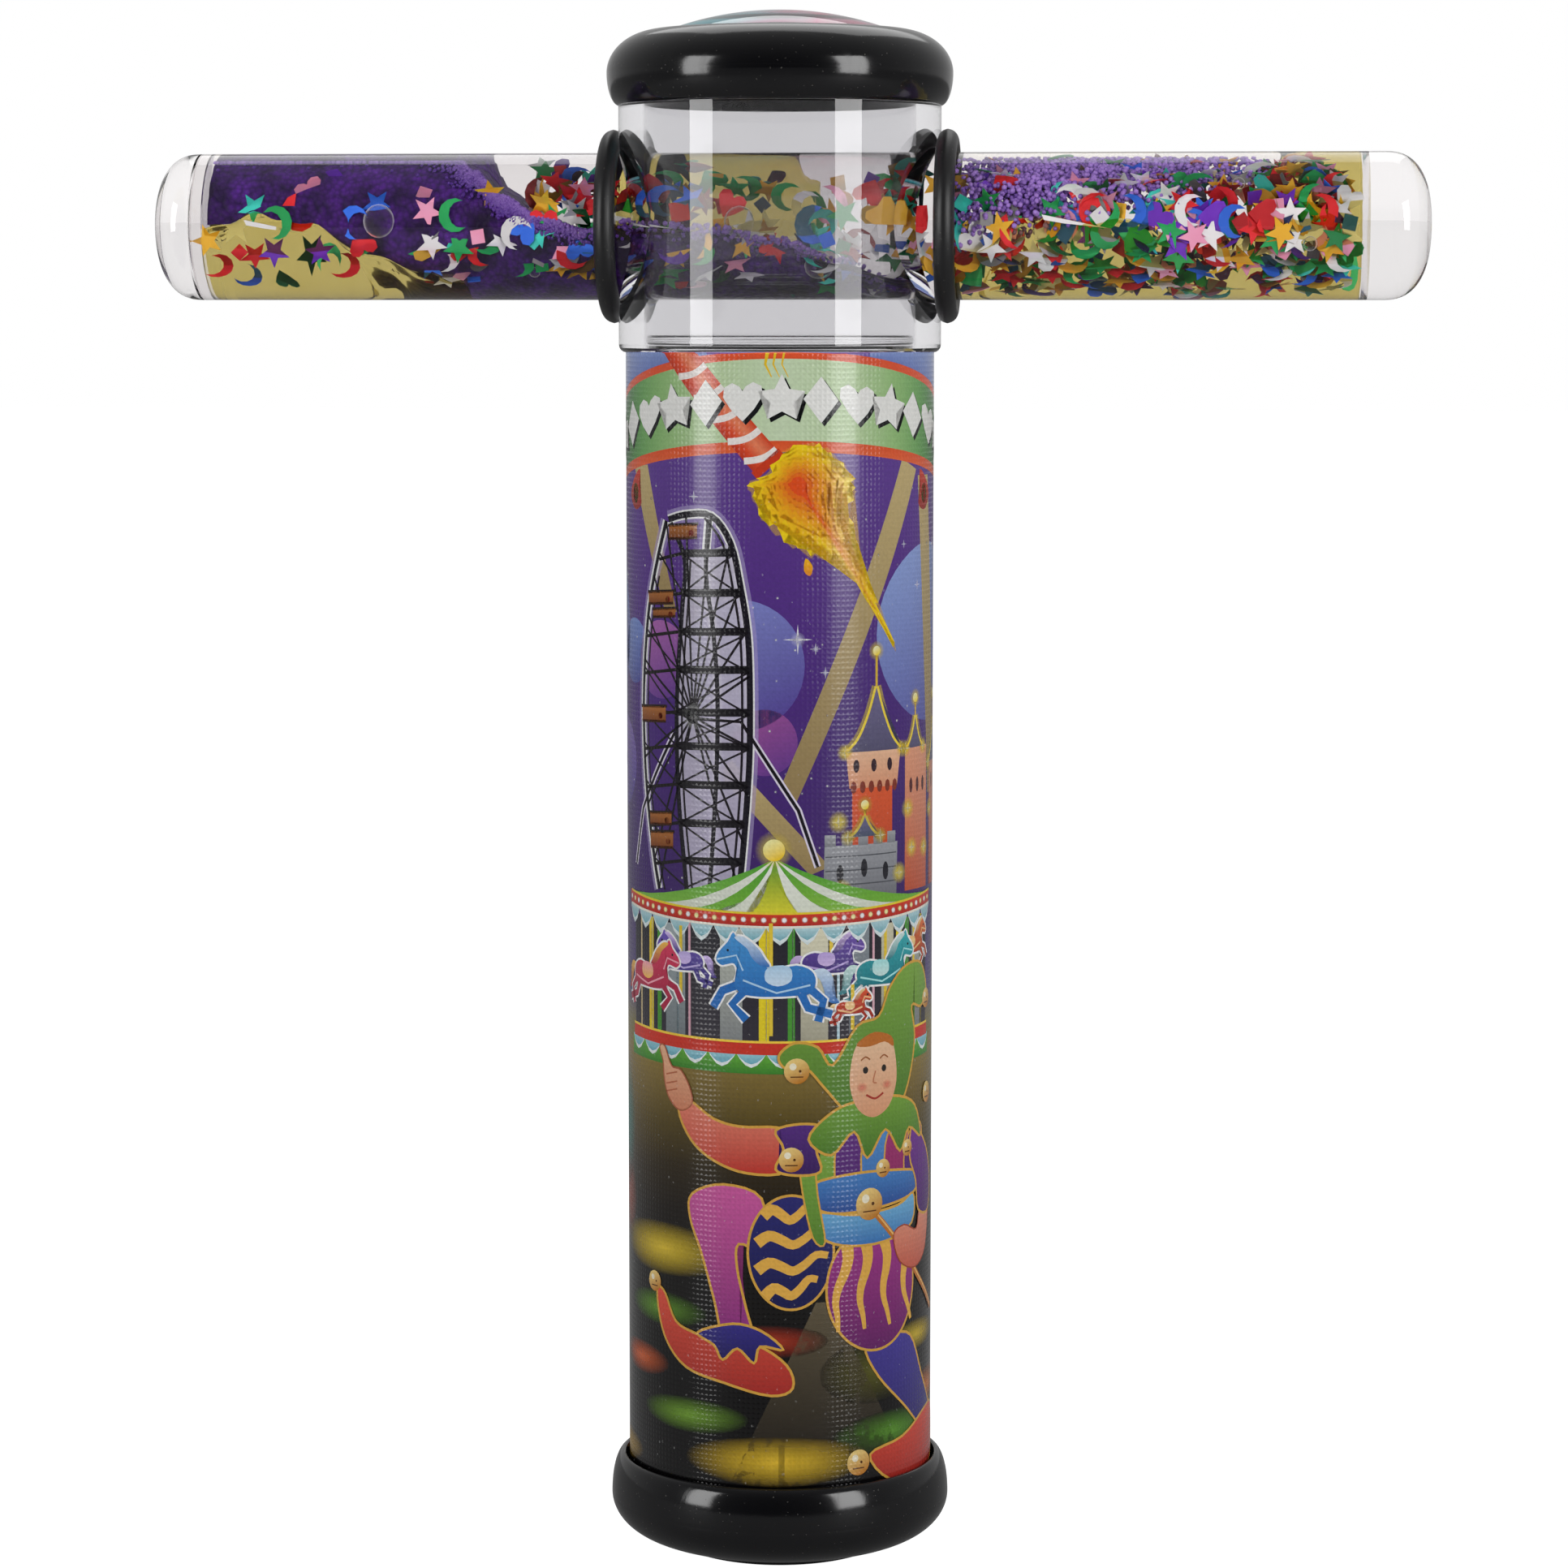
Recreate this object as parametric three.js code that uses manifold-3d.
// Glitter-wand kaleidoscope. Millimetres, +Z up the barrel, origin at the centre of the
// eyepiece's flat face. The sealed wand lies along X through the clear head, and +Y is the back.
import * as THREE from 'three';
import { mergeVertices } from 'three/addons/utils/BufferGeometryUtils.js';
import Module from 'manifold-3d';

const wasm = await Module();
wasm.setup();

// Driving dimensions
const GAP = 0.3; // between pieces that touch
const SIDES = 48; // facets round the barrel
const TUBE_R = 20; // outside of the clear head and of the label, which are flush
const BODY_LEN = 152.2; // printed card tube
const BODY_WALL = 0.8;
const LABEL_T = 0.3;
const HEAD_MARGIN = 3; // clear tube left above and below the rubber rings
const HEAD_WALL = 2.5;
const SPIGOT_LEN = 10; // reduced end of the clear head, pushed into the card tube
const SPIGOT_WALL = 0.8;

const CAP_BULGE = 2.2; // how far both caps stand out from the tube
const CAP_LIP = 0.6; // edge of a cap where it meets the tube
const CAP_ROUND_R = 6.9; // radial reach of the rounded shoulder of a cap
const TOP_GRIP = 7; // how far each cap covers the tube
const BOTTOM_GRIP = 7.6;

const BOSS_R = 13.8; // flat foot round the sight hole
const BOSS_H = 1.2;
const SIGHT_R = 5.5;
const FLOOR_Z = 2.6; // inside floor of the lens pocket
const SEAT_Z = 4.4; // ledge that the card tube stands on
const BOTTOM_WIDE_Z = 6.6; // widest level of the eyepiece cap
const EYE_LENS_R = 12;
const EYE_LENS_T = 1.2;
const BAFFLE_T = 0.5;
const BAFFLE_HOLE_R = 4.5;

const TOP_WALL = 2.6; // from the ceiling of the top cap up to its rim
const TOP_WIDE_RISE = 4.1; // widest level of the top cap above its lower edge
const DOME_R = 15;
const DOME_RISE = 2.8;
const DOME_FLANGE_T = 1.3;

const MIRROR_T = 1;
const WRAP_T = 0.4; // card sleeve round the three mirrors
const SPACER_WEB = 0.6; // thinnest part of a foam spacer
const LOW_SPACER_T = 4;
const TOP_SPACER_T = 3;
const WINDOW_T = 1.2;

const WAND_LEN = 164;
const WAND_R = 9.4;
const WAND_WALL = 1.3;
const WAND_SHIFT = 1; // the wand rests a little towards +X
const WAND_ROUND = 6; // axial depth of each blunt end
const WAND_SOLID = 8; // solid plastic at the closed end
const PLUG_SPIGOT = 1.2;
const WAND_HOLE_CLEAR = 0.8;
const RING_SECTION = 2.8;
const RING_CLEAR = 0.15; // ring to wand
const RING_STANDOFF = 0.4; // ring to head

const BANK_FLOOR = 2.2; // liquid under the lowest point of the bead bank
const GLITTER_T = 0.3;
const GLITTER_R = 2.3;
const GLITTER_COUNT = 18;
const GLITTER_SWAY = 1.9; // how far a glitter piece sits above or below the wand axis

// Levels that follow from them
const LABEL_IN_R = TUBE_R - LABEL_T;
const BODY_OUT_R = LABEL_IN_R - GAP;
const BODY_IN_R = BODY_OUT_R - BODY_WALL;
const SPIGOT_OUT_R = BODY_IN_R - GAP;
const BORE_R = Math.min(TUBE_R - HEAD_WALL, SPIGOT_OUT_R - SPIGOT_WALL);
const BODY_BOTTOM = SEAT_Z + GAP;
const BODY_TOP = BODY_BOTTOM + BODY_LEN;
const SHOULDER_Z = BODY_TOP + GAP;
const RING_R = WAND_R + RING_CLEAR + RING_SECTION / 2;
const WAND_Z = SHOULDER_Z + HEAD_MARGIN + RING_R + RING_SECTION / 2;
const TOP_SKIRT_Z = 2 * WAND_Z - SHOULDER_Z;
const CEILING_Z = TOP_SKIRT_Z + TOP_GRIP;
const TOP_RIM_Z = CEILING_Z + TOP_WALL;
const FLANGE_Z = CEILING_Z - GAP - DOME_FLANGE_T;
const HEAD_TOP = FLANGE_Z - GAP;
const TOP_WIDE_Z = TOP_SKIRT_Z + TOP_WIDE_RISE;
const BOTTOM_SKIRT_Z = SEAT_Z + BOTTOM_GRIP;
const DOME_SIDE_Z = TOP_RIM_Z - GAP;
const CAP_IN_R = TUBE_R + GAP;
const CAP_OUT_R = TUBE_R + CAP_BULGE;
const MIRROR_BOTTOM = BODY_BOTTOM + BAFFLE_T + GAP;
const WINDOW_Z = SHOULDER_Z + GAP;
const MIRROR_TOP = WINDOW_Z - GAP;
const HOLE_R = WAND_R + WAND_HOLE_CLEAR;
const WAND_BORE_R = WAND_R - WAND_WALL;
const FILL_R = WAND_BORE_R - GAP;
const GLITTER_FRONT = Math.sqrt(FILL_R ** 2 - (GLITTER_R + GLITTER_SWAY) ** 2);
const FILL_FRONT = GLITTER_FRONT - GLITTER_T - GAP; // the filling's flat, behind the glitter
const WAND_END = WAND_LEN / 2;
const TUBE_OPEN_END = -WAND_END + WAND_ROUND;
const TUBE_SHUT_END = WAND_END - WAND_SOLID;
const FILL_LEFT = TUBE_OPEN_END + PLUG_SPIGOT + GAP;
const FILL_RIGHT = TUBE_SHUT_END - GAP;
const RING_X = TUBE_R + RING_SECTION / 2 + RING_STANDOFF;

const kaleidoscope = new THREE.Group();

function plastic(color, roughness, opacity = 1) {
  return new THREE.MeshStandardMaterial({
    color, roughness, metalness: 0, opacity, transparent: opacity < 1,
  });
}

const BLACK_PLASTIC = plastic(0x101012, 0.2);
const CLEAR_PLASTIC = plastic(0xe6e8ec, 0.08, 0.35);
const PRINTED_FILM = plastic(0x5a3f8e, 0.35);
const GREY_CARD = plastic(0x8f8a80, 0.9);
const BLACK_CARD = plastic(0x1c1b1a, 0.9);
const FOAM = plastic(0x2e2e30, 0.95);
const RUBBER = plastic(0x17171a, 0.6);
const GOLD_LIQUID = plastic(0xd9c95a, 0.1, 0.6);
const PURPLE_BEADS = plastic(0x54208c, 0.5);
const MIRROR = new THREE.MeshStandardMaterial({ color: 0xe8ecef, roughness: 0.03, metalness: 1 });

function addPiece(name, geometry, material, parent = kaleidoscope) {
  const mesh = new THREE.Mesh(geometry, material);
  mesh.name = name;
  parent.add(mesh);
  return mesh;
}

// Turns an outline of [radius, height] points about Z. The outline runs up the outside.
function turned(outline, sides = SIDES) {
  const points = outline.map(([r, z]) => new THREE.Vector2(r, z));
  if (outline[0][0] > 0) points.push(points[0].clone());
  return new THREE.LatheGeometry(points, sides).rotateX(Math.PI / 2);
}

function sleeve(innerR, outerR, z0, z1) {
  return turned([[outerR, z0], [outerR, z1], [innerR, z1], [innerR, z0]]);
}

function disc(radius, z0, z1) {
  return turned([[0, z0], [radius, z0], [radius, z1], [0, z1]]);
}

// Points of an elliptical arc about [r, z], from one angle to another in degrees.
function arc(r, z, halfWidth, halfHeight, from, to, steps) {
  const points = [];
  for (let i = 0; i <= steps; i += 1) {
    const angle = THREE.MathUtils.degToRad(from + ((to - from) * i) / steps);
    points.push([r + halfWidth * Math.cos(angle), z + halfHeight * Math.sin(angle)]);
  }
  return points;
}

function toSolid(geometry) {
  const bare = geometry.clone();
  bare.deleteAttribute('normal');
  bare.deleteAttribute('uv');
  const merged = mergeVertices(bare, 1e-4);
  return new wasm.Manifold(new wasm.Mesh({
    numProp: 3,
    vertProperties: new Float32Array(merged.attributes.position.array),
    triVerts: new Uint32Array(merged.index.array),
  }));
}

function toGeometry(solid) {
  const mesh = solid.getMesh();
  const geometry = new THREE.BufferGeometry();
  geometry.setAttribute('position', new THREE.BufferAttribute(mesh.vertProperties, 3));
  geometry.setIndex(new THREE.BufferAttribute(mesh.triVerts, 1));
  return geometry;
}

function extruded(shape, depth, curveSegments = 6) {
  return new THREE.ExtrudeGeometry(shape, { depth, bevelEnabled: false, curveSegments });
}

// Eyepiece cap: a black cup with a rounded bulge, a flat foot and a sight hole.
function eyepieceCap() {
  const roundR = Math.min(CAP_ROUND_R, CAP_OUT_R - BOSS_R - CAP_LIP);
  return turned([
    [SIGHT_R, 0],
    [BOSS_R, 0],
    [BOSS_R, BOSS_H],
    ...arc(CAP_OUT_R - roundR, BOTTOM_WIDE_Z, roundR, BOTTOM_WIDE_Z - BOSS_H, -90, 0, 7),
    ...arc(CAP_OUT_R - CAP_BULGE + CAP_LIP, BOTTOM_WIDE_Z, CAP_BULGE - CAP_LIP,
      BOTTOM_SKIRT_Z - BOTTOM_WIDE_Z, 15, 90, 4),
    [CAP_IN_R, BOTTOM_SKIRT_Z],
    [CAP_IN_R, SEAT_Z],
    [EYE_LENS_R + GAP, SEAT_Z],
    [EYE_LENS_R + GAP, FLOOR_Z],
    [SIGHT_R, FLOOR_Z],
  ]);
}

// Top cap: the same bulge upside down, open in the middle for the dome.
function topCap() {
  const openR = DOME_R + GAP;
  const roundR = Math.min(CAP_ROUND_R, CAP_OUT_R - openR - CAP_LIP);
  return turned([
    [CAP_IN_R, TOP_SKIRT_Z],
    ...arc(CAP_OUT_R - CAP_BULGE + CAP_LIP, TOP_WIDE_Z, CAP_BULGE - CAP_LIP,
      TOP_WIDE_Z - TOP_SKIRT_Z, -90, -15, 4),
    ...arc(CAP_OUT_R - roundR, TOP_WIDE_Z, roundR, TOP_RIM_Z - TOP_WIDE_Z, 0, 90, 7),
    [openR, TOP_RIM_Z],
    [openR, CEILING_Z],
    [CAP_IN_R, CEILING_Z],
  ]);
}

// Dome lens: a clear button whose flange is clamped between the head and the top cap.
function domeLens() {
  const ballR = (DOME_R ** 2 + DOME_RISE ** 2) / (2 * DOME_RISE);
  const half = THREE.MathUtils.radToDeg(Math.asin(DOME_R / ballR));
  const crown = arc(0, DOME_SIDE_Z + DOME_RISE - ballR, ballR, ballR, 90 - half, 90, 6);
  crown[crown.length - 1][0] = 0;
  return turned([
    [0, FLANGE_Z],
    [TUBE_R - GAP, FLANGE_Z],
    [TUBE_R - GAP, FLANGE_Z + DOME_FLANGE_T],
    [DOME_R, FLANGE_Z + DOME_FLANGE_T],
    ...crown,
  ]);
}

// Clear head: a clear tube on a reduced spigot, drilled right across for the wand.
function clearHead() {
  const tube = turned([
    [BORE_R, SHOULDER_Z - SPIGOT_LEN],
    [SPIGOT_OUT_R, SHOULDER_Z - SPIGOT_LEN],
    [SPIGOT_OUT_R, SHOULDER_Z],
    [TUBE_R, SHOULDER_Z],
    [TUBE_R, HEAD_TOP],
    [BORE_R, HEAD_TOP],
  ]);
  const drill = new THREE.CylinderGeometry(HOLE_R, HOLE_R, 4 * TUBE_R, SIDES)
    .rotateZ(Math.PI / 2)
    .translate(0, 0, WAND_Z);
  return toGeometry(toSolid(tube).subtract(toSolid(drill)));
}

// Widest mirror strip whose card sleeve and spacers still fit inside the bore of the head.
function mirrorWidth() {
  const reach = BORE_R - GAP - SPACER_WEB - GAP;
  const a = GAP / Math.sqrt(3) + MIRROR_T + GAP + WRAP_T;
  const b = (GAP + WRAP_T) / Math.sqrt(3);
  const p = a / Math.sqrt(3) + b;
  const q = a * a + b * b - reach * reach;
  return 1.5 * (Math.sqrt(p * p - (4 * q) / 3) - p);
}

const MIRROR_W = mirrorWidth();
const PRISM_IN = (MIRROR_W + 2 * GAP) / (2 * Math.sqrt(3)); // axis to a mirror's face

// A triangle with its corners trimmed, grown outwards by a margin from the mirrors' backs.
function trimmedTriangle(margin) {
  const face = PRISM_IN + MIRROR_T + margin;
  const half = MIRROR_W / 2 + margin / Math.sqrt(3);
  const points = [];
  for (let side = 0; side < 3; side += 1) {
    const angle = Math.PI / 2 + (side * 2 * Math.PI) / 3;
    for (const along of [-half, half]) {
      points.push(new THREE.Vector2(
        face * Math.cos(angle) - along * Math.sin(angle),
        face * Math.sin(angle) + along * Math.cos(angle),
      ));
    }
  }
  return points;
}

function foamSpacer(radius, z0, thickness) {
  const shape = new THREE.Shape().absarc(0, 0, radius, 0, 2 * Math.PI, false);
  shape.holes.push(new THREE.Path(trimmedTriangle(GAP + WRAP_T + GAP)));
  return extruded(shape, thickness, 24).translate(0, 0, z0);
}

function mirrorWrap() {
  const shape = new THREE.Shape(trimmedTriangle(GAP + WRAP_T));
  shape.holes.push(new THREE.Path(trimmedTriangle(GAP)));
  return extruded(shape, MIRROR_TOP - MIRROR_BOTTOM).translate(0, 0, MIRROR_BOTTOM);
}

// A blunt end of the wand: a superellipse from the full radius to the axis.
function bluntEnd(steps) {
  const points = [];
  for (let i = 0; i <= steps; i += 1) {
    const angle = (Math.PI / 2) * (i / steps);
    points.push([
      WAND_R * Math.cos(angle) ** 0.8,
      WAND_ROUND * Math.sin(angle) ** 0.8,
    ]);
  }
  points[steps] = [0, WAND_ROUND];
  return points;
}

// Turned pieces of the wand are made upright and laid along X.
function alongWand(geometry) {
  return geometry.rotateY(Math.PI / 2);
}

function wandTube() {
  const outer = bluntEnd(8).map(([r, u]) => [r, WAND_END - WAND_ROUND + u]);
  return alongWand(turned([
    [0, TUBE_SHUT_END],
    [WAND_BORE_R, TUBE_SHUT_END],
    [WAND_BORE_R, TUBE_OPEN_END],
    [WAND_R, TUBE_OPEN_END],
    ...outer,
  ], 36));
}

function wandPlug() {
  const squeeze = 1 - GAP / WAND_ROUND;
  const outer = bluntEnd(8).reverse().map(([r, u]) => [r, TUBE_OPEN_END - GAP - u * squeeze]);
  return alongWand(turned([
    ...outer,
    [FILL_R, TUBE_OPEN_END - GAP],
    [FILL_R, TUBE_OPEN_END + PLUG_SPIGOT],
    [0, TUBE_OPEN_END + PLUG_SPIGOT],
  ], 36));
}

// Outline of the slumped bank of micro-beads, seen from the front, grown by a margin.
function bankOutline(margin) {
  const top = FILL_R + 1;
  const low = BANK_FLOOR - FILL_R - margin;
  return new THREE.Shape([
    new THREE.Vector2(FILL_LEFT - 1, top),
    new THREE.Vector2(FILL_LEFT - 1, low + 3.6),
    new THREE.Vector2(FILL_LEFT + 12, low + 1.6),
    new THREE.Vector2(FILL_LEFT + 26, low + 3.6),
    new THREE.Vector2(FILL_LEFT + 38 + margin, low),
    new THREE.Vector2(FILL_LEFT + 52 + 2 * margin, low + 1),
    new THREE.Vector2(FILL_LEFT + 40 + margin, 2 + margin),
    new THREE.Vector2(FILL_LEFT + 30 + margin, top),
  ]);
}

function bankBlock(margin) {
  return toSolid(extruded(bankOutline(margin), 4 * FILL_R)
    .rotateX(Math.PI / 2)
    .translate(0, 2 * FILL_R, 0));
}

function fillRod() {
  const length = FILL_RIGHT - FILL_LEFT;
  const rod = new THREE.CylinderGeometry(FILL_R, FILL_R, length, 32)
    .rotateZ(Math.PI / 2)
    .translate((FILL_LEFT + FILL_RIGHT) / 2, 0, 0);
  const front = new THREE.BoxGeometry(2 * WAND_LEN, FILL_R, 4 * FILL_R)
    .translate(0, -FILL_FRONT - FILL_R / 2, 0);
  return toSolid(rod).subtract(toSolid(front));
}

function starShape() {
  const shape = new THREE.Shape();
  for (let i = 0; i < 10; i += 1) {
    const radius = i % 2 === 0 ? GLITTER_R : GLITTER_R * 0.42;
    const angle = Math.PI / 2 + (i * Math.PI) / 5;
    shape[i === 0 ? 'moveTo' : 'lineTo'](radius * Math.cos(angle), radius * Math.sin(angle));
  }
  return shape;
}

function moonShape() {
  const shape = new THREE.Shape();
  shape.absarc(0, 0, GLITTER_R, THREE.MathUtils.degToRad(60), THREE.MathUtils.degToRad(300));
  shape.quadraticCurveTo(-GLITTER_R * 0.75, 0, GLITTER_R * 0.5, GLITTER_R * 0.866);
  return shape;
}

function heartShape() {
  const r = GLITTER_R * 0.9;
  const shape = new THREE.Shape();
  shape.moveTo(0, -r);
  shape.bezierCurveTo(r * 1.5, 0, r, r, 0, r * 0.35);
  shape.bezierCurveTo(-r, r, -r * 1.5, 0, 0, -r);
  return shape;
}

function squareShape() {
  const h = GLITTER_R * 0.5;
  return new THREE.Shape([
    new THREE.Vector2(-h, -h),
    new THREE.Vector2(h, -h),
    new THREE.Vector2(h, h),
    new THREE.Vector2(-h, h),
  ]);
}

const GLITTER_KINDS = [
  ['star', starShape],
  ['moon', moonShape],
  ['heart', heartShape],
  ['square', squareShape],
];
const FOIL_COLOURS = [0xd8dade, 0xc41820, 0x0b8f4a, 0x1f56c8, 0xe6b42c, 0xe884a8];

function foil(color) {
  return new THREE.MeshStandardMaterial({ color, roughness: 0.2, metalness: 0.9 });
}

// Housing
addPiece('eyepiece_cap', eyepieceCap(), BLACK_PLASTIC);
addPiece('eyepiece_lens', disc(EYE_LENS_R, FLOOR_Z + GAP, FLOOR_Z + GAP + EYE_LENS_T), CLEAR_PLASTIC);
addPiece('eyepiece_baffle',
  sleeve(BAFFLE_HOLE_R, BODY_IN_R - GAP, BODY_BOTTOM, BODY_BOTTOM + BAFFLE_T), BLACK_CARD);
addPiece('body_tube', sleeve(BODY_IN_R, BODY_OUT_R, BODY_BOTTOM, BODY_TOP), GREY_CARD);
addPiece('label_wrap', sleeve(LABEL_IN_R, TUBE_R, BODY_BOTTOM, BODY_TOP), PRINTED_FILM);
addPiece('lower_spacer', foamSpacer(BODY_IN_R - GAP, MIRROR_BOTTOM, LOW_SPACER_T), FOAM);
addPiece('upper_spacer',
  foamSpacer(BORE_R - GAP, MIRROR_TOP - TOP_SPACER_T, TOP_SPACER_T), FOAM);
addPiece('mirror_wrap', mirrorWrap(), BLACK_CARD);
for (let side = 0; side < 3; side += 1) {
  const strip = new THREE.BoxGeometry(MIRROR_W, MIRROR_T, MIRROR_TOP - MIRROR_BOTTOM);
  const mirror = addPiece(`mirror_${side + 1}`, strip, MIRROR);
  const angle = (side * 2 * Math.PI) / 3;
  const reach = PRISM_IN + MIRROR_T / 2;
  mirror.rotation.z = angle;
  mirror.position.set(
    -reach * Math.sin(angle),
    reach * Math.cos(angle),
    (MIRROR_BOTTOM + MIRROR_TOP) / 2,
  );
}
addPiece('object_window', disc(BORE_R - GAP, WINDOW_Z, WINDOW_Z + WINDOW_T), CLEAR_PLASTIC);
addPiece('clear_head', clearHead(), CLEAR_PLASTIC);
addPiece('dome_lens', domeLens(), CLEAR_PLASTIC);
addPiece('top_cap', topCap(), BLACK_PLASTIC);

// Wand, made about its own axis and lifted into the head
const wand = new THREE.Group();
wand.position.set(WAND_SHIFT, 0, WAND_Z);
kaleidoscope.add(wand);
addPiece('wand_tube', wandTube(), CLEAR_PLASTIC, wand);
addPiece('wand_plug', wandPlug(), CLEAR_PLASTIC, wand);
addPiece('wand_liquid', toGeometry(fillRod().subtract(bankBlock(GAP))), GOLD_LIQUID, wand);
addPiece('bead_bank', toGeometry(fillRod().intersect(bankBlock(0))), PURPLE_BEADS, wand);
const glitterPitch = (FILL_RIGHT - FILL_LEFT) / GLITTER_COUNT;
for (let i = 0; i < GLITTER_COUNT; i += 1) {
  const [kind, outline] = GLITTER_KINDS[i % GLITTER_KINDS.length];
  const number = String(i + 1).padStart(2, '0');
  const flake = extruded(outline(), GLITTER_T, 4)
    .rotateZ(i * 0.7)
    .rotateX(Math.PI / 2);
  const piece = addPiece(`glitter_${kind}_${number}`, flake,
    foil(FOIL_COLOURS[i % FOIL_COLOURS.length]), wand);
  piece.position.set(
    FILL_LEFT + glitterPitch * (i + 0.5),
    -FILL_FRONT - GAP,
    GLITTER_SWAY * Math.sin(i * 2.1),
  );
}

// Rings that grip the wand on either side of the head
for (const [name, side] of [['left_o_ring', -1], ['right_o_ring', 1]]) {
  const torus = new THREE.TorusGeometry(RING_R, RING_SECTION / 2, 10, 32).rotateY(Math.PI / 2);
  addPiece(name, torus, RUBBER).position.set(side * RING_X, 0, WAND_Z);
}

export default kaleidoscope;
